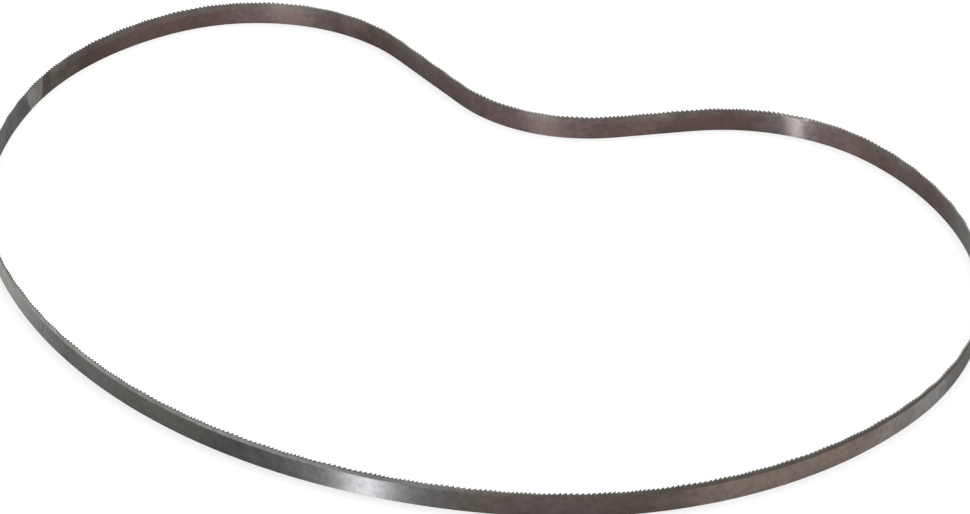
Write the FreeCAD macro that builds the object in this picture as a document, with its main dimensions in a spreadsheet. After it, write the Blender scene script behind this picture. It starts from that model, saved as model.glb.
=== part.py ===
import FreeCAD, Part

# Band saw blade: one endless band of hardened steel strip, its ends butt-welded and ground flush.
# It stands on its back edge with the teeth up, sprung into a kidney-shaped loop.
# Frame: +Z up, z = 0 on the back edge, origin under the middle of the loop's box.
# Millimetres and degrees.

import math
import os

import Sketcher
from FreeCAD import Placement, Rotation, Vector

PART_NAME = "saw_blade"

# Driving sizes: name, value, what it is
BAND_SIZES = [
    ("band_length", 1435.0, "length of the endless band along its centre line"),
    ("band_width", 12.7, "from the back edge to the tooth tips"),
    ("band_thickness", 0.64, "thickness of the strip"),
]
# Ten to fourteen teeth to the inch: the spacing opens and closes along each pattern of teeth
TOOTH_SIZES = [
    ("coarse_pitch", 2.54, "widest spacing from tip to tip"),
    ("fine_pitch", 1.814, "closest spacing from tip to tip"),
    ("pattern_teeth", 24, "teeth in one pattern, from the widest spacing to the closest and back"),
    ("gullet_depth", 1.0, "from the tips down to the bottom of the gullets"),
    ("gullet_share", 0.45, "share of each pitch that the floor of the gullet takes"),
    ("gullet_rise", 0.25, "rise of the gullet floor up to the back of the next tooth"),
    ("tooth_set", 0.25, "sideways lean of the tips at the crest of a wave of the set"),
    ("wave_teeth", 8, "teeth in one wave of the set, leaning to one side and then to the other"),
]
# The loop, anticlockwise seen from above: every bend has a radius, and the angle it turns through
LOOP_SIZES = [
    ("loop_heading", 131.0, "direction in which the band enters the right shoulder"),
    ("right_shoulder_radius", 98.0, "bend to the right of the dent"),
    ("right_shoulder_angle", 58.0, "angle it turns through"),
    ("shoulder_run", 40.0, "straight stretch from the shoulder into the dent"),
    ("dent_radius", 80.0, "inward bend at the bottom of the dent"),
    ("dent_angle", 63.0, "angle of the dent, against all the other bends"),
    ("dent_run", 57.0, "straight stretch out of the dent"),
    ("far_end_radius", 93.0, "tight bend at the far left"),
    ("far_end_angle", 82.0, "angle it turns through"),
    ("left_shoulder_radius", 142.0, "wider bend after the far end"),
    ("left_shoulder_angle", 42.0, "angle it turns through"),
    ("left_side_angle", 42.0, "angle of the slack left side"),
    ("near_left_radius", 293.0, "widest bend, at the near left"),
    ("near_left_angle", 62.0, "angle it turns through"),
    ("near_right_angle", 54.0, "angle of the slack near right"),
]
FULL_TURN = 360.0
SLACK = None  # stands for a radius that follows from the closing of the loop
UP = Vector(0.0, 0.0, 1.0)
SEWING_GAP = 1e-5


def make_sheet(doc):
    """Spreadsheet of the driving sizes: the name, the value with its alias, and a note."""
    sheet = doc.addObject("Spreadsheet::Sheet", "sizes")
    for row, (name, value, note) in enumerate(BAND_SIZES + TOOTH_SIZES + LOOP_SIZES, start=1):
        sheet.set(f"A{row}", name)
        sheet.set(f"B{row}", str(value))
        sheet.set(f"C{row}", note)
        sheet.setAlias(f"B{row}", name)
    doc.recompute()
    return sheet


def loop_stretches(sheet):
    """Bends and straights in order, as pairs of the sheet's size name and a turn.
    The slack bends have no size of their own, and the right side takes the turn that is left."""
    stretches = [
        ("right_shoulder_radius", sheet.right_shoulder_angle),
        ("shoulder_run", 0.0),
        ("dent_radius", -sheet.dent_angle),
        ("dent_run", 0.0),
        ("far_end_radius", sheet.far_end_angle),
        ("left_shoulder_radius", sheet.left_shoulder_angle),
        (SLACK, sheet.left_side_angle),
        ("near_left_radius", sheet.near_left_angle),
        (SLACK, sheet.near_right_angle),
    ]
    turned = sum(turn for _, turn in stretches)
    return stretches + [(SLACK, FULL_TURN - turned)]


def travel(heading, turn):
    """Way travelled along a bend of radius 1, or along a straight of length 1: east, north
    and length."""
    if turn == 0.0:
        return Vector(math.cos(heading), math.sin(heading), 1.0)
    side = math.copysign(1.0, turn)
    after = heading + math.radians(turn)
    east = side * (math.sin(after) - math.sin(heading))
    north = side * (math.cos(heading) - math.cos(after))
    return Vector(east, north, abs(math.radians(turn)))


def slack_radii(sheet):
    """Radii of the three slack bends. With them the loop meets its own start and is as long as
    the band, which makes three equations that are linear in the radii."""
    heading = math.radians(sheet.loop_heading)
    known = Vector()
    slack = []
    for size, turn in loop_stretches(sheet):
        way = travel(heading, turn)
        if size is SLACK:
            slack.append(way)
        else:
            known += way * getattr(sheet, size)
        heading += math.radians(turn)
    left, near, right = slack
    equations = FreeCAD.Matrix(
        left.x, near.x, right.x, 0.0,
        left.y, near.y, right.y, 0.0,
        left.z, near.z, right.z, 0.0,
    )
    missing = Vector(0.0, 0.0, sheet.band_length) - known
    return list(equations.inverse().multVec(missing))


def draw_centre_line(doc, sheet):
    """Sketch of the loop seen from above, each stretch tangent to the next, with the radii and
    runs bound to the sheet. Returns the stretches as edges in the direction of travel."""
    sketch = doc.addObject("Sketcher::SketchObject", "centre_line")
    radii = iter(slack_radii(sheet))
    heading = math.radians(sheet.loop_heading)
    start = Vector()
    starts, ends = [], []
    for size, turn in loop_stretches(sheet):
        length = next(radii) if size is SLACK else getattr(sheet, size)
        half = travel(heading, turn / 2) * length
        whole = travel(heading, turn) * length
        middle = start + Vector(half.x, half.y)
        finish = start + Vector(whole.x, whole.y)
        bend = turn != 0.0
        curve = Part.Arc(start, middle, finish) if bend else Part.LineSegment(start, finish)
        index = sketch.addGeometry(curve, False)
        drawn_forward = sketch.getPoint(index, 1).isEqual(start, SEWING_GAP)
        ends.append((index, 1, 2) if drawn_forward else (index, 2, 1))
        starts.append(start)
        if size is not SLACK:
            kind = "Radius" if bend else "Distance"
            bound = sketch.addConstraint(Sketcher.Constraint(kind, index, length))
            sketch.setExpression(f"Constraints[{bound}]", f"{sheet.Name}.{size}")
        start = finish
        heading += math.radians(turn)
    for (index, _, last), (after, first, _) in zip(ends, ends[1:] + ends[:1]):
        sketch.addConstraint(Sketcher.Constraint("Tangent", index, last, after, first))
    doc.recompute()
    edges = [sketch.Geometry[index].toShape() for index, _, _ in ends]
    return [(edge, edge.valueAt(edge.FirstParameter).isEqual(start, SEWING_GAP))
            for edge, start in zip(edges, starts)]


def tooth_pitches(sheet):
    """Spacing after every tooth. The number of teeth to a length swings from coarse to fine and
    back along each pattern, and whole patterns are eased to meet at the weld."""
    count = max(2, round(sheet.pattern_teeth))
    coarse = 1.0 / sheet.coarse_pitch
    fine = 1.0 / sheet.fine_pitch
    pattern = []
    for tooth in range(count):
        swing = math.cos(2.0 * math.pi * tooth / count)
        pattern.append(2.0 / (coarse + fine + (coarse - fine) * swing))
    patterns = max(1, round(sheet.band_length / sum(pattern)))
    ease = sheet.band_length / (patterns * sum(pattern))
    return [pitch * ease for pitch in pattern] * patterns


def tooth_stations(stretches, pitches):
    """Point on the centre line under every tip, with the direction out of the loop there."""
    stations = []
    remaining = iter(stretches)
    edge, forward = next(remaining)
    along = 0.0
    for pitch in pitches:
        while along > edge.Length:
            along -= edge.Length
            edge, forward = next(remaining)
        place = edge.getParameterByLength(along if forward else edge.Length - along)
        ahead = edge.tangentAt(place) * (1.0 if forward else -1.0)
        stations.append((edge.valueAt(place), Vector(ahead.y, -ahead.x, 0.0)))
        along += pitch
    return stations


def flat_face(*corners):
    return Part.Face(Part.makePolygon([*corners, corners[0]]))


def tooth_side(sheet, foot, next_foot, lean):
    """One side of a tooth and of the strip below it: gullet, corner of the tooth's back, tip, and
    next gullet, straight below the tip. The tooth leans over about its own gullet line."""
    strip = UP * (sheet.band_width - sheet.gullet_depth)
    gullet = foot + strip
    next_gullet = next_foot + strip
    tooth = UP * sheet.gullet_depth + lean
    floor = (next_foot - foot) * sheet.gullet_share
    corner = gullet + floor + tooth * (sheet.gullet_rise / sheet.gullet_depth)
    return gullet, corner, next_gullet + tooth, next_gullet


def tooth_faces(inner, outer):
    """Faces across the band along one tooth: the gullet floor and the back of the tooth, each
    in two flats because the band turns below it, and the upright rake face."""
    gullet, corner, tip, next_gullet = inner
    outer_gullet, outer_corner, outer_tip, outer_next = outer
    return [
        flat_face(gullet, outer_gullet, outer_corner),
        flat_face(gullet, outer_corner, corner),
        flat_face(corner, outer_corner, outer_tip),
        flat_face(corner, outer_tip, tip),
        flat_face(tip, outer_tip, outer_next, next_gullet),
    ]


def toothed_band(sheet, stations):
    """The whole blade as one solid: a flat of strip under each tooth, the tooth on it, and the
    back edge as one ring-shaped face."""
    half = sheet.band_thickness / 2
    wave = 2.0 * math.pi / max(2, round(sheet.wave_teeth))
    inner = [point - out * half for point, out in stations]
    outer = [point + out * half for point, out in stations]
    back_edge = [Part.makePolygon(ring + ring[:1]) for ring in (inner, outer)]
    faces = [Part.makeFace(Part.makeCompound(back_edge), "Part::FaceMakerBullseye")]
    for tooth in range(len(stations)):
        after = (tooth + 1) % len(stations)
        lean = stations[after][1] * sheet.tooth_set * math.sin(wave * (tooth + 0.5))
        sides = []
        for ring in (inner, outer):
            side = tooth_side(sheet, ring[tooth], ring[after], lean)
            gullet, _, _, next_gullet = side
            faces.append(flat_face(ring[tooth], ring[after], next_gullet, gullet))
            faces.append(flat_face(*side))
            sides.append(side)
        faces += tooth_faces(*sides)
    skin = Part.makeCompound(faces)
    skin.sewShape(SEWING_GAP)
    band = Part.makeSolid(skin.Shells[0])
    if band.Volume < 0.0:
        band.reverse()
    return band


def check(doc, blade):
    """Stop before anything is written if an object of the document didn't build."""
    for item in doc.Objects:
        if {"Invalid", "Error"} & set(item.State):
            raise RuntimeError(f"{item.Label} did not build")
    if blade.Shape.isNull() or not blade.Shape.isValid():
        raise RuntimeError(f"{blade.Label} is not a valid solid")


def main():
    doc = FreeCAD.newDocument("band_saw_blade")
    sheet = make_sheet(doc)
    stretches = draw_centre_line(doc, sheet)
    stations = tooth_stations(stretches, tooth_pitches(sheet))
    blade = doc.addObject("Part::Feature", PART_NAME)
    blade.Label = PART_NAME
    blade.Shape = toothed_band(sheet, stations)
    centre = blade.Shape.BoundBox.Center
    blade.Placement = Placement(Vector(-centre.x, -centre.y, 0.0), Rotation())
    doc.recompute()
    check(doc, blade)
    os.makedirs("parts", exist_ok=True)
    blade.Shape.exportStep(os.path.join("parts", f"{blade.Label}.step"))
    print(blade.Label, len(stations), "teeth, volume", round(blade.Shape.Volume, 1))


main()
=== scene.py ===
import logging
import math
from dataclasses import dataclass, field
from enum import Enum

import bpy
import numpy as np
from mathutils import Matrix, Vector


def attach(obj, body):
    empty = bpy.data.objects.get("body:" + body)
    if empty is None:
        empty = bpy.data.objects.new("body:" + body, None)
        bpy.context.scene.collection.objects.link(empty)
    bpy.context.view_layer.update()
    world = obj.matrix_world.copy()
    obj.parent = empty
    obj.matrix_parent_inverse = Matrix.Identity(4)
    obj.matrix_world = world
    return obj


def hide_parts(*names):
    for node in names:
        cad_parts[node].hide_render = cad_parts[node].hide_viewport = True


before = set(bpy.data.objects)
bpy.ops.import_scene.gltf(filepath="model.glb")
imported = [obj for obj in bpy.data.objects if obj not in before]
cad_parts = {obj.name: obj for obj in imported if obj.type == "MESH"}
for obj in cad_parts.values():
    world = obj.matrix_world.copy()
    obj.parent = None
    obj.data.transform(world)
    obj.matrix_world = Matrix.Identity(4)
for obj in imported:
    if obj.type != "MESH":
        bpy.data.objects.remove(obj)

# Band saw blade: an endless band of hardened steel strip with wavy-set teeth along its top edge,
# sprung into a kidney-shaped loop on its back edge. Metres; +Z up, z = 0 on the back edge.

MM = 0.001
NODE = "saw_blade"
# Corners this near to a level lie on it, and corners that agree to these decimals are the same
LEVEL = 0.01 * MM
DECIMALS = 8
# A noise seldom leaves this range, and its middle stands for no change
NOISE_LOW, NOISE_MIDDLE, NOISE_HIGH = 0.3, 0.5, 0.7
WHITE = "#ffffff"

Socket = bpy.types.NodeSocket
Colour = tuple[float, float, float, float]

log = logging.getLogger("band_saw_blade")


def linear(colour: str) -> Colour:
    """Turns an sRGB hex colour to the linear values that a shader takes.

    Args:
        colour: six hex digits after a hash sign.

    Returns:
        Linear red, green, blue and an alpha of 1.
    """
    parts = [int(colour[i:i + 2], 16) / 255.0 for i in (1, 3, 5)]
    low = [part / 12.92 if part <= 0.04045 else ((part + 0.055) / 1.055) ** 2.4 for part in parts]
    return (*low, 1.0)


def add_node(
    tree: bpy.types.NodeTree,
    kind: str,
    inputs: dict[str | int, object] | None = None,
    output: str | int = 0,
    **settings: object,
) -> Socket | None:
    """Adds a shader node to a tree with its settings and links.

    Args:
        tree: node tree that gets the node.
        kind: type of the node, after the ShaderNode that all these types start with.
        inputs: values by the input's name or number; an output socket is linked instead.
        output: name or number of the output that is wanted.
        settings: properties of the node itself.

    Returns:
        The output, which also knows its node, or None where the node has none.
    """
    node = tree.nodes.new("ShaderNode" + kind)
    for name, value in settings.items():
        setattr(node, name, value)
    for name, value in (inputs or {}).items():
        if isinstance(value, Socket):
            tree.links.new(value, node.inputs[name])
        else:
            node.inputs[name].default_value = value
    return node.outputs[output] if node.outputs else None


def following(noise: Socket, limits: tuple[float, float]) -> dict[str, object]:
    """Inputs of a range that goes from one limit to the other as a noise rises.

    Args:
        noise: the noise.
        limits: the two limits.

    Returns:
        The inputs by their names.
    """
    low, high = limits
    return {
        "Value": noise,
        "From Min": NOISE_LOW,
        "From Max": NOISE_HIGH,
        "To Min": low,
        "To Max": high,
    }


def new_material(name: str) -> tuple[bpy.types.Material, bpy.types.NodeTree]:
    """Makes an empty material with nodes.

    Args:
        name: name of the real material and how it was made.

    Returns:
        The material and its node tree.
    """
    material = bpy.data.materials.new(name)
    material.use_nodes = True
    material.node_tree.nodes.clear()
    return material, material.node_tree


class Side(Enum):
    """The two wide faces of the strip, by the sign of their distance from its middle."""

    OUTER = 1.0
    INNER = -1.0


class Face(Enum):
    """Kinds of face on the blade, by their place in its list of materials."""

    STRIP = 0
    TEETH = 1
    BACK = 2


class OxideAndPaintedLight(Enum):
    """Colours of the strip, each with the roughness that comes with it: for the most part colours that
    the tempering leaves, while the palest stand for painted light where the lamps fall brightly.
    """

    BROWN = ("#68554f", 0.34)
    DOVE = ("#625a5a", 0.29)
    # Rose is a purple-brown oxide made paler as a painted highlight beside a glint
    ROSE_AND_PAINTED_SHEEN = ("#766665", 0.60)
    PLUM = ("#614f4c", 0.50)
    FAWN = ("#6a5a58", 0.78)
    TAUPE = ("#605553", 0.48)
    UMBER = ("#51453f", 0.52)
    BARK = ("#584d47", 0.50)
    OLIVE = ("#5c564f", 0.46)
    MOSS = ("#5f5e59", 0.42)
    SLATE = ("#5e5c5d", 0.37)
    IRON = ("#4d4b4c", 0.40)
    STRAW = ("#7d7068", 0.50)
    ASH = ("#6d6b69", 0.45)
    # Silver and chalk are painted light: paler where the lamps fall brightly on the strip
    SILVER_PAINTED_LIGHT = ("#8b8a88", 0.42)
    CHALK_PAINTED_LIGHT = ("#a6a5a2", 0.45)

    @property
    def colour(self) -> Colour:
        """Linear colour of the oxide."""
        return linear(self.value[0])

    @property
    def roughness(self) -> float:
        """Roughness of the strip under the oxide."""
        return self.value[1]


OxideRun = tuple[tuple[float, OxideAndPaintedLight], ...]


@dataclass(frozen=True)
class FlatStrip:
    """The blade's surface laid flat, as a map in metres: X goes along the band from the weld, and Y
    around it, down the outer side and up the inner one, which starts under the back edge."""

    name: str
    length: float
    inner_start: float


@dataclass(frozen=True)
class SteelPlaces:
    """Where a point of the blade lies, as sockets in millimetres for the finishes' patterns."""

    tree: bpy.types.NodeTree
    flat: FlatStrip

    @property
    def round_mm(self) -> float:
        """Way round the whole band."""
        return self.flat.length / MM

    def place(self) -> Socket:
        """Place in the room, which has no seam anywhere on the loop."""
        own = add_node(self.tree, "TexCoord", output="Object")
        return add_node(self.tree, "VectorMath", {0: own, "Scale": 1.0 / MM}, operation="SCALE")

    def height(self) -> Socket:
        """Height above the back edge."""
        return add_node(self.tree, "SeparateXYZ", {0: self.place()}, "Z")

    def strip(self, axis: str) -> Socket:
        """Place on the flat strip.

        Args:
            axis: X for the way along the band from the weld, anticlockwise, or Y for the way
                around it.

        Returns:
            Socket with the way.
        """
        spot = add_node(self.tree, "UVMap", uv_map=self.flat.name)
        way = add_node(self.tree, "SeparateXYZ", {0: spot}, axis)
        return add_node(self.tree, "Math", {0: way, 1: 1.0 / MM}, operation="MULTIPLY")

    def outer(self) -> Socket:
        """1 on the outer side of the strip and 0 on the inner."""
        turn = self.flat.inner_start / MM
        return add_node(self.tree, "Math", {0: self.strip("Y"), 1: turn}, operation="LESS_THAN")

    def share(self, shift: Socket | float = 0.0) -> Socket:
        """Share of the way round, which is one half at the weld.

        Args:
            shift: way by which the share is read further on.

        Returns:
            Socket with the share, 0 to 1.
        """
        way = add_node(self.tree, "Math", {0: self.strip("X"), 1: shift}, operation="ADD")
        scaled = {0: way, 1: 1.0 / self.round_mm, 2: 0.5}
        turns = add_node(self.tree, "Math", scaled, operation="MULTIPLY_ADD")
        return add_node(self.tree, "Math", {0: turns}, operation="FRACT")

    def past_weld(self) -> Socket:
        """Way past the middle of the weld, negative on the clockwise side of it."""
        scaled = {0: self.share(), 1: self.round_mm, 2: -self.round_mm / 2}
        return add_node(self.tree, "Math", scaled, operation="MULTIPLY_ADD")


@dataclass(frozen=True)
class Patterns:
    """Noises that make the strip uneven, as sockets."""

    clouds: Socket
    flecks: Socket
    grain: Socket
    wander: Socket


@dataclass(frozen=True)
class WeldMark:
    """A mark that the welding left across the band, in millimetres.

    The middle lies past the weld. The reach is half of the mark's width at the back edge, and the
    slant is how much it grows with the height. The noise of the flecks frays the edges, and they
    fade over the soft way on either side of where they lie. The most is the share inside them.
    """

    middle: float
    reach: float
    slant: float
    fray: float
    soft: float
    most: float

    def share(self, at: SteelPlaces, flecks: Socket) -> Socket:
        """Share of the mark.

        Args:
            at: where the nodes go.
            flecks: noise that frays the edges.

        Returns:
            Socket with the share, from 0 outside to the most inside.
        """
        tree = at.tree
        aside = add_node(tree, "Math", {0: at.past_weld(), 1: self.middle}, operation="SUBTRACT")
        aside = add_node(tree, "Math", {0: aside}, operation="ABSOLUTE")
        slanted = {0: at.height(), 1: self.slant, 2: self.reach}
        reach = add_node(tree, "Math", slanted, operation="MULTIPLY_ADD")
        inside = add_node(tree, "Math", {0: reach, 1: aside}, operation="SUBTRACT")
        swing = add_node(tree, "Math", {0: flecks, 1: NOISE_MIDDLE}, operation="SUBTRACT")
        frayed = {0: swing, 1: self.fray, 2: inside}
        edge = {
            "Value": add_node(tree, "Math", frayed, operation="MULTIPLY_ADD"),
            "From Min": -self.soft,
            "From Max": self.soft,
            "To Max": self.most,
        }
        return add_node(tree, "MapRange", edge, interpolation_type="SMOOTHSTEP")


@dataclass(frozen=True)
class TemperedStrip:
    """Hardened and tempered carbon steel strip, cold rolled and then oil tempered.

    The rolling leaves a satin grain along the band, so lamps draw tall narrow glints across it. The
    tempering leaves a thin oxide, brown for the most part, that turns to plum, umber, olive and slate
    along the band and takes some of the metal's own shine. Towards the teeth it was heated again,
    which shows as a paler grey-green stripe, soft on the inner side and crisp on the outer. The weld
    was ground flush, which shows as a bare patch across the band with a scorched side. The runs of
    colours along the band also hold painted light: paler tones where the lamps fall brightly near the
    ends of the loop and beside glints, and darker ones on the outer stripe as painted shade. Sizes
    are in millimetres.
    """

    stripe: str = "#706c68"
    bare: str = "#7f7c78"
    metallic: float = 0.6
    shine: float = 1.0
    edge_shine: str = "#9a9a9a"
    anisotropy: float = 1.0
    # A quarter of a turn, so that the glints stand across the grain
    glint_turn: float = 0.25
    # Foot of the stripe over the back edge, half of its soft edge and its wander: inner, then outer
    stripe_foot: tuple[float, float] = (8.6, 9.9)
    stripe_soft: tuple[float, float] = (1.9, 0.35)
    stripe_wander: tuple[float, float] = (1.6, 0.32)
    # Least and most of the stripe's share on the inner side; on the outer side it covers all
    stripe_share: tuple[float, float] = (0.33, 0.66)
    stripe_rough: float = 0.85
    # The grinding over the weld took the oxide off up to the teeth, and the arc scorched one side
    ground: WeldMark = WeldMark(middle=0.6, reach=6.0, slant=0.27, fray=2.4, soft=0.5, most=1.0)
    ground_top: float = 11.5
    ground_top_soft: float = 0.3
    ground_rough: float = 0.42
    scorch: WeldMark = WeldMark(middle=-11.5, reach=3.6, slant=0.0, fray=6.0, soft=1.2, most=0.75)
    # Size of each noise's spots and the number of finer layers in it
    clouds: tuple[float, float] = (16.0, 3.0)
    flecks: tuple[float, float] = (3.0, 4.0)
    wander: tuple[float, float] = (9.0, 3.0)
    # The grain is a few hundredths of a millimetre apart and too fine to show: drawn at 0.3 mm
    grain_pitch: float = 0.3
    grain_length: float = 45.0
    grain_layers: float = 3.0
    grain_relief: float = 0.08
    grain_depth: float = 0.02
    layer_strength: float = 0.62
    # The darkest and the palest that each noise turns the colour, and what flecks do to roughness
    cloud_tones: tuple[float, float] = (0.86, 1.14)
    fleck_tones: tuple[float, float] = (0.81, 1.19)
    grain_tones: tuple[float, float] = (0.92, 1.08)
    fleck_rough: tuple[float, float] = (0.94, 1.08)
    # Way by which the clouds shift the oxide's colours along the band, over their whole range
    drift: float = 60.0
    # Way past the weld, anticlockwise, at which each side has its colour: oxide for the most part, and
    # painted light in places. On the inner side, silver and ash near both ends of the loop, rose at -491
    # mm and fawn round -190 mm are paler as painted highlight.
    inner_oxide_and_painted_light: OxideRun = (
        (-690.0, OxideAndPaintedLight.OLIVE), (-640.0, OxideAndPaintedLight.SILVER_PAINTED_LIGHT), (-596.0, OxideAndPaintedLight.ASH), (-575.0, OxideAndPaintedLight.TAUPE),
        (-545.0, OxideAndPaintedLight.TAUPE), (-510.0, OxideAndPaintedLight.BROWN), (-491.0, OxideAndPaintedLight.ROSE_AND_PAINTED_SHEEN), (-477.0, OxideAndPaintedLight.DOVE),
        (-466.0, OxideAndPaintedLight.DOVE), (-454.0, OxideAndPaintedLight.PLUM), (-412.0, OxideAndPaintedLight.PLUM), (-390.0, OxideAndPaintedLight.BROWN),
        (-365.0, OxideAndPaintedLight.FAWN), (-296.0, OxideAndPaintedLight.FAWN), (-255.0, OxideAndPaintedLight.TAUPE), (-222.0, OxideAndPaintedLight.BARK),
        (-190.0, OxideAndPaintedLight.FAWN), (-132.0, OxideAndPaintedLight.FAWN), (-112.0, OxideAndPaintedLight.PLUM), (-75.0, OxideAndPaintedLight.PLUM),
        (-48.0, OxideAndPaintedLight.UMBER), (-18.0, OxideAndPaintedLight.OLIVE), (11.0, OxideAndPaintedLight.IRON), (26.0, OxideAndPaintedLight.SLATE),
        (48.0, OxideAndPaintedLight.ASH), (110.0, OxideAndPaintedLight.TAUPE), (170.0, OxideAndPaintedLight.BROWN), (330.0, OxideAndPaintedLight.PLUM),
        (480.0, OxideAndPaintedLight.TAUPE), (620.0, OxideAndPaintedLight.OLIVE),
    )
    # Outer side: chalk and silver from 163 to 209 mm and ash to 266 mm are painted light where the lamps
    # fall on the near left of the loop, and straw and silver from 580 mm on are partly painted light on
    # its near right.
    outer_oxide_and_painted_light: OxideRun = (
        (-717.0, OxideAndPaintedLight.ASH), (-590.0, OxideAndPaintedLight.OLIVE), (-470.0, OxideAndPaintedLight.BROWN), (-340.0, OxideAndPaintedLight.PLUM),
        (-200.0, OxideAndPaintedLight.TAUPE), (-70.0, OxideAndPaintedLight.OLIVE), (40.0, OxideAndPaintedLight.SLATE), (163.0, OxideAndPaintedLight.CHALK_PAINTED_LIGHT),
        (182.0, OxideAndPaintedLight.CHALK_PAINTED_LIGHT), (209.0, OxideAndPaintedLight.SILVER_PAINTED_LIGHT), (240.0, OxideAndPaintedLight.ASH), (266.0, OxideAndPaintedLight.ASH),
        (292.0, OxideAndPaintedLight.MOSS), (315.0, OxideAndPaintedLight.MOSS), (345.0, OxideAndPaintedLight.IRON), (385.0, OxideAndPaintedLight.SLATE),
        (440.0, OxideAndPaintedLight.SLATE), (462.0, OxideAndPaintedLight.OLIVE), (500.0, OxideAndPaintedLight.TAUPE), (540.0, OxideAndPaintedLight.BARK),
        (580.0, OxideAndPaintedLight.STRAW), (645.0, OxideAndPaintedLight.STRAW), (695.0, OxideAndPaintedLight.SILVER_PAINTED_LIGHT), (717.0, OxideAndPaintedLight.ASH),
    )
    # Outer stripe: silver and chalk from 150 to 345 mm are painted light on the near left, and slate and
    # iron from 402 to 440 mm are painted shade that keeps a glint off the stripe.
    stripe_oxide_and_painted_light: OxideRun = (
        (-680.0, OxideAndPaintedLight.OLIVE), (-300.0, OxideAndPaintedLight.STRAW), (0.0, OxideAndPaintedLight.SLATE), (150.0, OxideAndPaintedLight.SILVER_PAINTED_LIGHT),
        (200.0, OxideAndPaintedLight.CHALK_PAINTED_LIGHT), (264.0, OxideAndPaintedLight.CHALK_PAINTED_LIGHT), (290.0, OxideAndPaintedLight.SILVER_PAINTED_LIGHT), (345.0, OxideAndPaintedLight.SILVER_PAINTED_LIGHT),
        (378.0, OxideAndPaintedLight.ASH), (402.0, OxideAndPaintedLight.SLATE), (420.0, OxideAndPaintedLight.IRON), (440.0, OxideAndPaintedLight.SLATE),
        (470.0, OxideAndPaintedLight.OLIVE), (680.0, OxideAndPaintedLight.OLIVE),
    )

    def material(self, flat: FlatStrip) -> bpy.types.Material:
        """Builds the node material.

        Args:
            flat: the blade's surface laid flat.

        Returns:
            The material of the strip's two wide faces.
        """
        material, tree = new_material("tempered_carbon_steel_rolled_and_oil_tempered")
        at = SteelPlaces(tree, flat)
        outer, noise = at.outer(), self.patterns(at)
        ground = self.ground.share(at, noise.flecks)
        colour, roughness = self.oxide(at, outer, noise)
        relief = {
            "Height": noise.grain,
            "Strength": self.grain_relief,
            "Distance": self.grain_depth * MM,
        }
        steel = add_node(tree, "BsdfPrincipled", {
            "Base Color": self.toned(tree, self.marked(at, colour, ground, noise), noise),
            "Metallic": self.metallic,
            "Roughness": self.worn(tree, roughness, ground, noise),
            "Specular IOR Level": self.shine,
            "Specular Tint": linear(self.edge_shine),
            "Anisotropic": self.anisotropy,
            "Anisotropic Rotation": self.glint_turn,
            "Normal": add_node(tree, "Bump", relief),
            "Tangent": add_node(tree, "Tangent", direction_type="UV_MAP", uv_map=flat.name),
        })
        add_node(tree, "OutputMaterial", {"Surface": steel})
        return material

    def patterns(self, at: SteelPlaces) -> Patterns:
        """Makes the noises: the grain lies along the strip, and the others are read in the room.

        Args:
            at: where the nodes go.

        Returns:
            The noises' sockets.
        """
        along = add_node(at.tree, "CombineXYZ", {"X": at.strip("X"), "Y": at.height()})
        stretch = {0: along, 1: (1.0 / self.grain_length, 1.0 / self.grain_pitch, 0.0)}
        lines = add_node(at.tree, "VectorMath", stretch, operation="MULTIPLY")
        place = at.place()
        spots = {
            "clouds": (place, *self.clouds),
            "flecks": (place, *self.flecks),
            "grain": (lines, 1.0, self.grain_layers),
            "wander": (place, *self.wander),
        }
        noises = {}
        for name, (where, size, layers) in spots.items():
            noises[name] = add_node(at.tree, "TexNoise", {
                "Vector": where,
                "Scale": 1.0 / size,
                "Detail": layers,
                "Roughness": self.layer_strength,
            })
        return Patterns(**noises)

    def oxide(self, at: SteelPlaces, outer: Socket, noise: Patterns) -> tuple[Socket, Socket]:
        """Colour and roughness of the oxide with its painted light, and with the stripe in it.

        Args:
            at: where the nodes go.
            outer: 1 on the outer side.
            noise: noises of the strip.

        Returns:
            Sockets with the colour and the roughness.
        """
        tree = at.tree
        shifted = {0: noise.clouds, 1: self.drift, 2: -self.drift * NOISE_MIDDLE}
        share = at.share(add_node(tree, "Math", shifted, operation="MULTIPLY_ADD"))
        inside, outside, upper = (
            self.along(at, share, run) for run in (self.inner_oxide_and_painted_light, self.outer_oxide_and_painted_light, self.stripe_oxide_and_painted_light)
        )
        stripe = self.stripe_cover(at, outer, noise)
        matt = add_node(tree, "Math", {0: stripe, 1: outer}, operation="MULTIPLY")
        body, pale = (
            add_node(tree, "Mix", {"Factor": outer, "A": inner, "B": other}, "Result", data_type="RGBA")
            for inner, other in ((inside[0], outside[0]), (linear(self.stripe), upper[0]))
        )
        both = {"Factor": stripe, "A": body, "B": pale}
        colour = add_node(tree, "Mix", both, "Result", data_type="RGBA")
        roughness = add_node(tree, "Mix", {"Factor": outer, "A": inside[1], "B": outside[1]})
        roughness = add_node(tree, "Mix", {"Factor": matt, "A": roughness, "B": self.stripe_rough})
        return colour, roughness

    def along(self, at: SteelPlaces, share: Socket, run: OxideRun) -> tuple[Socket, Socket]:
        """Colour and roughness that change slowly along the band.

        Args:
            at: where the nodes go.
            share: share of the way round.
            run: colours with their ways past the weld.

        Returns:
            Sockets with the colour and the roughness.
        """
        ramp = add_node(at.tree, "ValToRGB", {"Fac": share}).node
        elements = ramp.color_ramp.elements
        while len(elements) < len(run):
            elements.new(1.0)
        for element, (way, oxide) in zip(elements, run):
            element.position = way / at.round_mm + 0.5
            element.color = (*oxide.colour[:3], oxide.roughness)
        return ramp.outputs["Color"], ramp.outputs["Alpha"]

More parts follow.
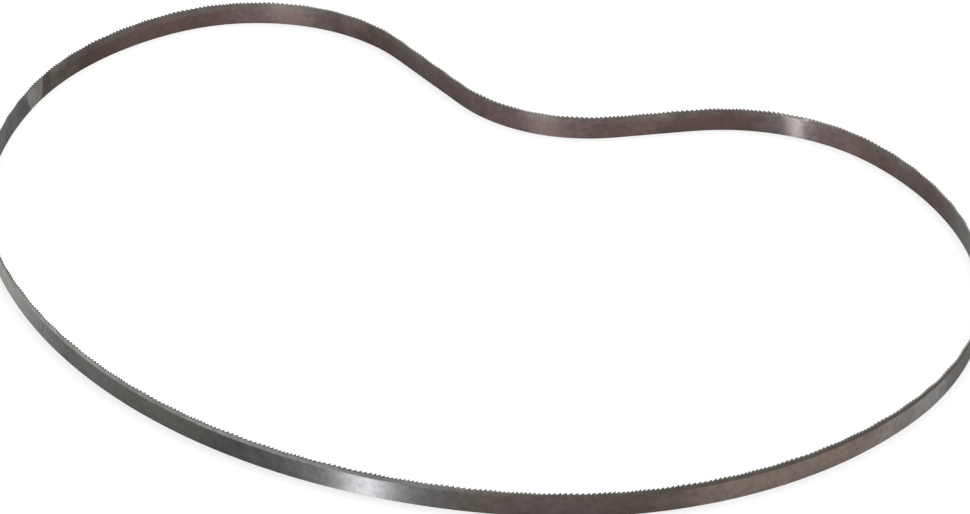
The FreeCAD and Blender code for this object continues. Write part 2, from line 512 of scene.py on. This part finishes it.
    def stripe_cover(self, at: SteelPlaces, outer: Socket, noise: Patterns) -> Socket:
        """Share of the stripe under the teeth.

        Args:
            at: where the nodes go.
            outer: 1 on the outer side.
            noise: noises of the strip.

        Returns:
            Socket with the share.
        """
        tree = at.tree
        foot, soft, wander = (
            add_node(tree, "Mix", {"Factor": outer, "A": inside, "B": outside})
            for inside, outside in (self.stripe_foot, self.stripe_soft, self.stripe_wander)
        )
        swing = add_node(tree, "Math", {0: noise.wander, 1: NOISE_MIDDLE}, operation="SUBTRACT")
        over = add_node(tree, "Math", {0: at.height(), 1: foot}, operation="SUBTRACT")
        over = add_node(tree, "Math", {0: swing, 1: wander, 2: over}, operation="MULTIPLY_ADD")
        over = add_node(tree, "Math", {0: over, 1: soft}, operation="DIVIDE")
        edge = {"Value": over, "From Min": -1.0, "From Max": 1.0}
        covered = add_node(tree, "MapRange", edge, interpolation_type="SMOOTHSTEP")
        patchy = add_node(tree, "MapRange", following(noise.clouds, self.stripe_share))
        most = add_node(tree, "Math", {0: patchy, 1: outer}, operation="MAXIMUM")
        return add_node(tree, "Math", {0: covered, 1: most}, operation="MULTIPLY")

    def marked(self, at: SteelPlaces, colour: Socket, ground: Socket, noise: Patterns) -> Socket:
        """Colour with the scorch beside the weld and the bare patch over it.

        Args:
            at: where the nodes go.
            colour: colour of the oxide.
            ground: share of the patch that was ground over the weld.
            noise: noises of the strip.

        Returns:
            Socket with the colour.
        """
        under = add_node(at.tree, "MapRange", {
            "Value": at.height(),
            "From Min": self.ground_top - self.ground_top_soft,
            "From Max": self.ground_top + self.ground_top_soft,
            "To Min": 1.0,
            "To Max": 0.0,
        }, interpolation_type="SMOOTHSTEP")
        bare = add_node(at.tree, "Math", {0: ground, 1: under}, operation="MULTIPLY")
        scorch = self.scorch.share(at, noise.flecks)
        for share, over in ((scorch, OxideAndPaintedLight.UMBER.colour), (bare, linear(self.bare))):
            layer = {"Factor": share, "A": colour, "B": over}
            colour = add_node(at.tree, "Mix", layer, "Result", data_type="RGBA")
        return colour

    def toned(self, tree: bpy.types.NodeTree, colour: Socket, noise: Patterns) -> Socket:
        """Colour that is darker and paler in clouds, in flecks and along the grain.

        Args:
            tree: node tree of the material.
            colour: even colour.
            noise: noises of the strip.

        Returns:
            Socket with the uneven colour.
        """
        for spots, tones in (
            (noise.flecks, self.fleck_tones),
            (noise.grain, self.grain_tones),
            (noise.clouds, self.cloud_tones),
        ):
            scaled = {0: colour, "Scale": add_node(tree, "MapRange", following(spots, tones))}
            colour = add_node(tree, "VectorMath", scaled, operation="SCALE")
        return colour

    def worn(
        self, tree: bpy.types.NodeTree, roughness: Socket, ground: Socket, noise: Patterns
    ) -> Socket:
        """Roughness with the ground patch in it, uneven in flecks.

        Args:
            tree: node tree of the material.
            roughness: roughness of the oxide.
            ground: share of the patch that was ground over the weld.
            noise: noises of the strip.

        Returns:
            Socket with the roughness.
        """
        worn = add_node(tree, "Mix", {"Factor": ground, "A": roughness, "B": self.ground_rough})
        flecks = add_node(tree, "MapRange", following(noise.flecks, self.fleck_rough))
        return add_node(tree, "Math", {0: worn, 1: flecks}, operation="MULTIPLY")


@dataclass(frozen=True)
class BareSteel:
    """The same steel with no oxide on it, in darker and brighter spots that are also its relief.

    The shades come with the noise at which they are reached. The spot and the depth of the relief
    are in millimetres.
    """

    name: str
    shades: tuple[tuple[float, str], tuple[float, str]]
    spot: float
    layers: float
    layer_strength: float
    relief: float
    depth: float
    roughness: float
    metallic: float = 1.0

    def material(self, flat: FlatStrip) -> bpy.types.Material:
        """Builds the node material.

        Args:
            flat: the blade's surface laid flat.

        Returns:
            The material.
        """
        material, tree = new_material(self.name)
        spots = add_node(tree, "TexNoise", {
            "Vector": SteelPlaces(tree, flat).place(),
            "Scale": 1.0 / self.spot,
            "Detail": self.layers,
            "Roughness": self.layer_strength,
        })
        shaded = add_node(tree, "ValToRGB", {"Fac": spots})
        for element, (where, shade) in zip(shaded.node.color_ramp.elements, self.shades):
            element.position = where
            element.color = linear(shade)
        relief = {"Height": spots, "Strength": self.relief, "Distance": self.depth * MM}
        steel = add_node(tree, "BsdfPrincipled", {
            "Base Color": shaded,
            "Metallic": self.metallic,
            "Roughness": self.roughness,
            "Normal": add_node(tree, "Bump", relief),
        })
        add_node(tree, "OutputMaterial", {"Surface": steel})
        return material


@dataclass(frozen=True)
class MilledTeeth(BareSteel):
    """Gullets, backs and rake faces, milled across the band and then hardened: dark grey and
    coarse, so the row of teeth reads as a dark rough line."""

    name: str = "tempered_carbon_steel_milled"
    shades: tuple[tuple[float, str], tuple[float, str]] = ((0.35, "#565752"), (0.7, "#7d7d77"))
    spot: float = 0.35
    layers: float = 2.0
    layer_strength: float = 0.5
    relief: float = 0.25
    depth: float = 0.03
    roughness: float = 0.5


@dataclass(frozen=True)
class DressedBack(BareSteel):
    """The back edge, rolled and dressed bright with its corners broken, worn by the guides."""

    name: str = "tempered_carbon_steel_dressed_edge"
    shades: tuple[tuple[float, str], tuple[float, str]] = ((0.4, "#6f6b66"), (0.65, "#908c86"))
    spot: float = 18.0
    layers: float = 5.0
    layer_strength: float = 0.7
    relief: float = 0.1
    depth: float = 0.02
    roughness: float = 0.38


@dataclass
class CentreLine:
    """The line that the band follows on the ground, from the middle of the weld and
    anticlockwise, with one station under every tooth tip."""

    points: np.ndarray
    outward: np.ndarray
    leans: np.ndarray
    gaps: np.ndarray = field(init=False)
    ways: np.ndarray = field(init=False)

    def __post_init__(self) -> None:
        """Measures the gap after each station and the way to it, and last the whole way round."""
        self.gaps = np.linalg.norm(np.roll(self.points, -1, 0) - self.points, axis=1)
        self.ways = np.concatenate([[0.0], np.cumsum(self.gaps)])

    @classmethod
    def of_node(cls, mesh: bpy.types.Mesh, weld: Vector, soften: float) -> "CentreLine":
        """Reads the line and the teeth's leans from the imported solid.

        Args:
            mesh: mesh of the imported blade.
            weld: place of the weld, in metres.
            soften: reach over which the line's joints are eased, in stations.

        Returns:
            The line, with its first station at the weld.
        """
        corners = np.array([corner.co for corner in mesh.vertices])
        heights = corners[:, 2]
        edge, tips = (
            np.unique(corners[level].round(DECIMALS), axis=0)[:, :2]
            for level in (heights < LEVEL, heights > heights.max() - LEVEL)
        )
        middles = cls.middles(edge)
        start = int(np.hypot(*(middles - np.array(weld[:2])).T).argmin())
        points = middles[cls.walk(middles, start)]
        ahead = np.roll(points, -1, 0) - np.roll(points, 1, 0)
        ahead /= np.linalg.norm(ahead, axis=1)[:, None]
        outward = np.stack([ahead[:, 1], -ahead[:, 0]], 1)
        tip_middles = cls.middles(tips)
        apart = np.linalg.norm(points[:, None] - tip_middles[None], axis=2)
        leans = ((tip_middles[apart.argmin(1)] - points) * outward).sum(1)
        return cls(cls.eased(points, soften), outward, leans)

    @staticmethod
    def middles(ring: np.ndarray) -> np.ndarray:
        """Middles between the two sides of the strip.

        Args:
            ring: corners of both sides at one height, where each lies nearest to its twin.

        Returns:
            One middle for each pair of corners.
        """
        gaps = np.linalg.norm(ring[:, None] - ring[None], axis=2)
        np.fill_diagonal(gaps, np.inf)
        twin = gaps.argmin(1)
        first = np.arange(len(ring)) < twin
        return (ring[first] + ring[twin[first]]) / 2

    @staticmethod
    def walk(points: np.ndarray, start: int) -> list[int]:
        """Order of the points anticlockwise along the loop, each next to the one before.

        Args:
            points: points of the loop, in any order.
            start: number of the first point.

        Returns:
            The points' numbers in their order.
        """
        order = [start]
        free = np.ones(len(points), bool)
        free[start] = False
        while free.any():
            gaps = np.linalg.norm(points - points[order[-1]], axis=1)
            order.append(int(np.where(free, gaps, np.inf).argmin()))
            free[order[-1]] = False
        x, y = points[order].T
        if (x * np.roll(y, -1) - y * np.roll(x, -1)).sum() < 0.0:
            order = order[:1] + order[:0:-1]
        return order

    @staticmethod
    def eased(points: np.ndarray, reach: float) -> np.ndarray:
        """Points of a closed line with its bends eased into each other, without drawing it in.

        Args:
            points: points of the line.
            reach: number of points over which they are eased.

        Returns:
            The eased points.
        """
        count = len(points)
        steps = np.minimum(np.arange(count), count - np.arange(count))
        weights = np.exp(-0.5 * (steps / reach) ** 2)
        kernel = np.fft.fft(weights / weights.sum())[:, None]
        once = np.fft.ifft(np.fft.fft(points, axis=0) * kernel, axis=0).real
        return np.fft.ifft(np.fft.fft(2 * points - once, axis=0) * kernel, axis=0).real

    def between(self, values: np.ndarray, station: int, share: float) -> np.ndarray:
        """Value a share of the way from a station to the next, on a smooth curve through both.

        Args:
            values: one value or point for each station.
            station: number of the station.
            share: share of the way to the next, 0 to 1.

        Returns:
            The value there.
        """
        count = len(values)
        before, here, after, beyond = (values[(station + step) % count] for step in (-1, 0, 1, 2))
        straight = 2 * here + (after - before) * share
        bend = (2 * before - 5 * here + 4 * after - beyond) * share ** 2
        twist = (3 * (here - after) + beyond - before) * share ** 3
        return 0.5 * (straight + bend + twist)


@dataclass
class ToothForm:
    """Outline of one tooth seen from the side: a round gullet and a straight back up to the tip."""

    depth: float = 1.0 * MM
    gullet_radius: float = 0.3 * MM
    gullet_steps: int = 5
    back_steps: int = 3

    def outline(self, pitch: float) -> list[tuple[float, float]]:
        """Points from the foot of the rake face, round the gullet and up the back.

        Args:
            pitch: spacing from tip to tip, in metres.

        Returns:
            Shares of the pitch with heights over the bottom of the gullet, without the tip.
        """
        radius = self.gullet_radius
        over, up = pitch - radius, self.depth - radius
        slope = math.atan2(up, over) + math.asin(radius / math.hypot(over, up))
        turn = math.pi / 2 + slope
        points = []
        for step in range(self.gullet_steps):
            angle = turn * step / (self.gullet_steps - 1)
            points.append((radius - radius * math.cos(angle), radius - radius * math.sin(angle)))
        foot, low = points[-1]
        for step in range(1, self.back_steps):
            share = step / self.back_steps
            points.append((foot + (pitch - foot) * share, low + (self.depth - low) * share))
        return [(x / pitch, z) for x, z in points]


@dataclass
class Section:
    """One section across the band: its corners down the outer side, under the back edge and up the
    inner side, the station before it, and the way along the band to it."""

    station: int
    way: float
    corners: list[tuple[float, float, float]]

    def girth(self) -> np.ndarray:
        """Way around the section to each of its corners, in metres."""
        gaps = [math.dist(here, after) for here, after in zip(self.corners, self.corners[1:])]
        return np.concatenate([[0.0], np.cumsum(gaps)])


@dataclass
class Skin:
    """Faces of the mesh with their kinds, and for each corner of each face its way along the band,
    its way around the section and its station."""

    faces: list[list[int]] = field(default_factory=list)
    kinds: list[int] = field(default_factory=list)
    flat: list[tuple[float, float, int]] = field(default_factory=list)

    def add(
        self, kind: Face, corners: list[int], spots: list[tuple[float, float]], station: int
    ) -> None:
        """Adds a face.

        Args:
            kind: kind of the face.
            corners: numbers of its corners.
            spots: way along and way around at each corner.
            station: station before the face.
        """
        self.faces.append(corners)
        self.kinds.append(kind.value)
        self.flat += [(*spot, station) for spot in spots]


@dataclass
class SawBand:
    """The blade itself: strip, teeth, weld and back edge as one closed mesh."""

    thickness: float = 0.64 * MM
    width: float = 12.7 * MM
    corner: float = 0.1 * MM
    # The set leans the teeth from the foot of the bend up, and more steeply towards the tips
    bend_foot: float = 10.5 * MM
    bend_power: float = 1.6
    bend_rows: tuple[float, ...] = (11.3 * MM, 10.9 * MM, 10.4 * MM)
    # The grinding left a shallow hollow with steep ends on both faces of the weld
    weld: Vector = field(default_factory=lambda: Vector((-0.2264, 0.1319, 0.0)))
    weld_reach: float = 7.5 * MM
    weld_hollow: float = 0.03 * MM
    weld_power: int = 4
    # Number of teeth over which the line's bends are eased into each other
    soften: float = 3.0
    # An edge is sharp from this angle on, in degrees
    crease: float = 38.0
    strip_map: str = "strip_map"
    # The export lays its pictures out by the map of this name, where the band lies cut into rows of
    # so many teeth, with free edges at both ends of a row and a gap between the rows
    picture_map: str = "OFBake"
    picture_row: int = 96
    picture_edge: float = 0.004
    picture_gap: float = 0.4 * MM
    tooth: ToothForm = field(default_factory=ToothForm)
    flat: FlatStrip = field(init=False)

    def build(self, node: bpy.types.Object) -> bpy.types.Object:
        """Builds the blade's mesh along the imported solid's own line.

        Args:
            node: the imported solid, which this piece replaces.

        Returns:
            The new piece.
        """
        line = CentreLine.of_node(node.data, self.weld, self.soften)
        sections = self.sections(line)
        tips = self.tips(line)
        corners = [corner for section in sections for corner in section.corners]
        skin = self.skin(sections, line)
        mesh = bpy.data.meshes.new("band_saw_blade")
        mesh.from_pydata(corners + tips, [], skin.faces)
        mesh.polygons.foreach_set("material_index", skin.kinds)
        mesh.polygons.foreach_set("use_smooth", [True] * len(skin.faces))
        flat = np.array(skin.flat)
        maps = {self.strip_map: flat[:, :2], self.picture_map: self.in_rows(flat, line.ways)}
        for name, places in maps.items():
            mesh.uv_layers.new(name=name).uv.foreach_set("vector", places.astype(np.float32).ravel())
        mesh.set_sharp_from_angle(angle=math.radians(self.crease))
        mesh.validate()
        around = float(sections[0].girth()[-1])
        self.flat = FlatStrip(self.strip_map, length=float(line.ways[-1]), inner_start=around / 2)
        piece = bpy.data.objects.new("toothed_band", mesh)
        bpy.context.scene.collection.objects.link(piece)
        return piece

    def sections(self, line: CentreLine) -> list[Section]:
        """Sections of the band all the way round, without those at the tips.

        Args:
            line: the centre line.

        Returns:
            The sections in their order along the band.
        """
        gullet = self.width - self.tooth.depth
        return [
            self.section(line, station, share, gullet + rise)
            for station, pitch in enumerate(line.gaps)
            for share, rise in self.tooth.outline(pitch)
        ]

    def tips(self, line: CentreLine) -> list[tuple[float, float, float]]:
        """Outer and inner corner of every tip.

        Args:
            line: the centre line.

        Returns:
            The corners, two for each station.
        """
        corners = []
        for station in range(len(line.gaps)):
            section = self.section(line, station, 0.0, self.width)
            corners += [section.corners[0], section.corners[-1]]
        return corners

    def section(self, line: CentreLine, station: int, share: float, top: float) -> Section:
        """One section across the band.

        Args:
            line: the centre line.
            station: station before the section.
            share: share of the way to the next station.
            top: height of the section.

        Returns:
            The section.
        """
        way = line.ways[station] + share * line.gaps[station]
        middle = line.between(line.points, station, share)
        outward = line.between(line.outward, station, share)
        outward = outward / np.linalg.norm(outward)
        lean = float(line.between(line.leans, station, share))
        near_weld = min(way, line.ways[-1] - way) / self.weld_reach
        half = self.thickness / 2 - self.weld_hollow * max(0.0, 1.0 - near_weld ** self.weld_power)
        outline = [(half, height) for height in (top, *self.bend_rows, self.corner)]
        outline.append((half - self.corner, 0.0))
        corners = []
        for side in Side:
            edge = []
            for out, height in outline:
                bend = max(0.0, height - self.bend_foot) / (self.width - self.bend_foot)
                shift = side.value * out + lean * bend ** self.bend_power
                x, y = middle + outward * shift
                edge.append((float(x), float(y), height))
            corners += edge if side is Side.OUTER else edge[::-1]
        return Section(station, way, corners)

    def skin(self, sections: list[Section], line: CentreLine) -> Skin:
        """Faces between the sections, with their kinds and their flat places.

        Args:
            sections: the sections.
            line: the centre line.

        Returns:
            The faces.
        """
        girth = sections[0].girth()
        around = girth[-1] + self.thickness
        # A rake face stands across the band, so on the map it lies apart from the faces beside it
        apart = around + self.picture_gap
        beyond = apart + self.thickness
        loop = len(girth)
        # The back edge is the face in the middle with a broken corner on either side of it
        back = range(loop // 2 - 2, loop // 2 + 1)
        skin = Skin()
        for number, section in enumerate(sections):
            after = (number + 1) % len(sections)
            station, way = section.station, section.way
            way_after = sections[after].way if after else line.ways[-1]
            # A tooth closes at its tip, which has two corners of its own over the next section
            closing = not after or sections[after].station != station
            here, there = number * loop, after * loop
            tip = len(sections) * loop + 2 * sections[after].station
            for row in range(loop - 1):
                face = [here + row, here + row + 1, there + row + 1, there + row]
                spots = [(way, girth[row]), (way, girth[row + 1])]
                spots += [(way_after, girth[row + 1]), (way_after, girth[row])]
                if closing and row == 0:
                    face.append(tip)
                    spots.append((way_after, girth[0]))
                if closing and row == loop - 2:
                    face.insert(2, tip + 1)
                    spots.insert(2, (way_after, girth[-1]))
                skin.add(Face.BACK if row in back else Face.STRIP, face, spots, station)
            outer, inner = (tip, tip + 1) if closing else (there, there + loop - 1)
            spots = [(way, girth[-1]), (way, around), (way_after, around), (way_after, girth[-1])]
            skin.add(Face.TEETH, [here + loop - 1, here, outer, inner], spots, station)
            if closing:
                foot = way_after - self.tooth.depth
                spots = [(way_after, apart), (foot, apart), (foot, beyond), (way_after, beyond)]
                skin.add(Face.TEETH, [tip, there, there + loop - 1, tip + 1], spots, station)
        return skin

    def in_rows(self, flat: np.ndarray, ways: np.ndarray) -> np.ndarray:
        """Lays the flat places out in a square, in rows of the band one below the other.

        Args:
            flat: for each corner of each face its way along, its way around and its station.
            ways: way along the band at each station.

        Returns:
            Place of each corner in the square, 0 to 1 both ways.
        """
        starts = ways[::self.picture_row]
        row = (flat[:, 2] // self.picture_row).astype(int)
        along = (flat[:, 0] - starts[row]) / np.diff(starts).max()
        down = (flat[:, 1] + self.picture_gap) / (flat[:, 1].max() + 2 * self.picture_gap)
        across = self.picture_edge + (1.0 - 2.0 * self.picture_edge) * along
        return np.stack([across, 1.0 - (row + down) / (len(starts) - 1)], 1)

    def dress(self, piece: bpy.types.Object) -> None:
        """Gives the piece its three finishes, its body and the node it stands for.

        Args:
            piece: the built piece.
        """
        for finish in (TemperedStrip(), MilledTeeth(), DressedBack()):
            piece.data.materials.append(finish.material(self.flat))
        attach(piece, "root")
        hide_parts(NODE)


@dataclass
class Studio:
    """Pale floor and plain soft light, with one narrow strip light low on the left for the glints."""

    floor_reach: float = 8.0
    floor_colour: str = "#f4f4f4"
    floor_shine: float = 0.58
    sky: float = 0.75
    overhead_power: float = 46.0
    overhead_size: tuple[float, float] = (2.4, 2.4)
    overhead_place: Vector = field(default_factory=lambda: Vector((0.3, 0.2, 2.2)))
    strip_power: float = 8.8
    strip_size: tuple[float, float] = (0.06, 0.30)
    strip_colour: str = "#f5fafc"
    strip_place: Vector = field(default_factory=lambda: Vector((-0.456, -0.760, 0.156)))

    def build(self) -> None:
        """Adds the floor, the lamps and the world."""
        self.floor()
        self.lamp("softbox_overhead", self.overhead_place, self.overhead_size, self.overhead_power)
        strip = self.lamp("strip_light_left", self.strip_place, self.strip_size, self.strip_power)
        strip.data.color = linear(self.strip_colour)[:3]
        strip.data.cycles.cast_shadow = False
        strip.visible_diffuse = False
        strip.visible_camera = False
        self.world()

    def floor(self) -> None:
        """Adds the pale floor, white where the camera and the metal see it, with soft shadows."""
        reach = self.floor_reach
        corners = [(-reach, -reach, 0.0), (reach, -reach, 0.0), (reach, reach, 0.0), (-reach, reach, 0.0)]
        mesh = bpy.data.meshes.new("floor")
        mesh.from_pydata(corners, [], [(0, 1, 2, 3)])
        floor = bpy.data.objects.new("floor", mesh)
        bpy.context.scene.collection.objects.link(floor)
        material, tree = new_material("matt_pale_board")
        rays = add_node(tree, "LightPath").node.outputs
        seen = rays["Is Camera Ray"]
        for ray in ("Is Glossy Ray", "Is Transmission Ray"):
            seen = add_node(tree, "Math", {0: seen, 1: rays[ray]}, operation="MAXIMUM")
        share = add_node(tree, "Math", {0: seen, 1: self.floor_shine}, operation="MULTIPLY")
        matt = add_node(tree, "BsdfDiffuse", {"Color": linear(self.floor_colour)})
        white = add_node(tree, "Emission", {"Color": linear(WHITE), "Strength": 1.0})
        both = add_node(tree, "MixShader", {0: share, 1: matt, 2: white})
        add_node(tree, "OutputMaterial", {"Surface": both})
        mesh.materials.append(material)

    def lamp(
        self, name: str, place: Vector, size: tuple[float, float], power: float
    ) -> bpy.types.Object:
        """Adds a rectangular lamp that faces the middle of the blade.

        Args:
            name: the lamp's name.
            place: where it stands, in metres.
            size: its width and height, in metres.
            power: its power, in watts.

        Returns:
            The lamp.
        """
        data = bpy.data.lights.new(name, "AREA")
        data.shape = "RECTANGLE"
        data.size, data.size_y = size
        data.energy = power
        lamp = bpy.data.objects.new(name, data)
        lamp.location = place
        lamp.rotation_euler = (-place).to_track_quat("-Z", "Y").to_euler()
        bpy.context.scene.collection.objects.link(lamp)
        return lamp

    def world(self) -> None:
        """Adds an even light from all round."""
        world = bpy.data.worlds.new("studio")
        world.use_nodes = True
        world.node_tree.nodes.clear()
        light = {"Color": linear(WHITE), "Strength": self.sky}
        surface = add_node(world.node_tree, "Background", light)
        add_node(world.node_tree, "OutputWorld", {"Surface": surface})
        bpy.context.scene.world = world


@dataclass
class PhotoCamera:
    """Camera at the photograph's place: a long lens, looking down on the loop from the front."""

    target: Vector = field(default_factory=lambda: Vector((0.005434, -0.011593, 0.0)))
    distance: float = 1.6746
    elevation: float = 33.5
    focal_pixels: float = 3500.0
    image_width: float = 970.0
    sensor_width: float = 36.0
    view_limit: float = 50.0

    def build(self) -> None:
        """Adds the camera and makes it the scene's."""
        data = bpy.data.cameras.new("camera")
        data.sensor_fit = "HORIZONTAL"
        data.sensor_width = self.sensor_width
        data.lens = self.sensor_width * self.focal_pixels / self.image_width
        data.clip_end = self.view_limit
        camera = bpy.data.objects.new("camera", data)
        tilt = math.radians(self.elevation)
        camera.location = self.target + Vector((0.0, -math.cos(tilt), math.sin(tilt))) * self.distance
        camera.rotation_euler = (math.pi / 2 - tilt, 0.0, 0.0)
        bpy.context.scene.collection.objects.link(camera)
        bpy.context.scene.camera = camera


def main() -> None:
    """Builds the studio and the blade in order, and reports each piece."""
    logging.basicConfig(level=logging.INFO, format="%(name)s: %(message)s")
    bpy.context.scene.view_settings.view_transform = "Standard"
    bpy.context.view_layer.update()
    Studio().build()
    PhotoCamera().build()
    band = SawBand()
    piece = band.build(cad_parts[NODE])
    band.dress(piece)
    log.info("%s: %d faces, %.1f mm round", piece.name, len(piece.data.polygons), band.flat.length / MM)


if __name__ == "__main__":
    main()
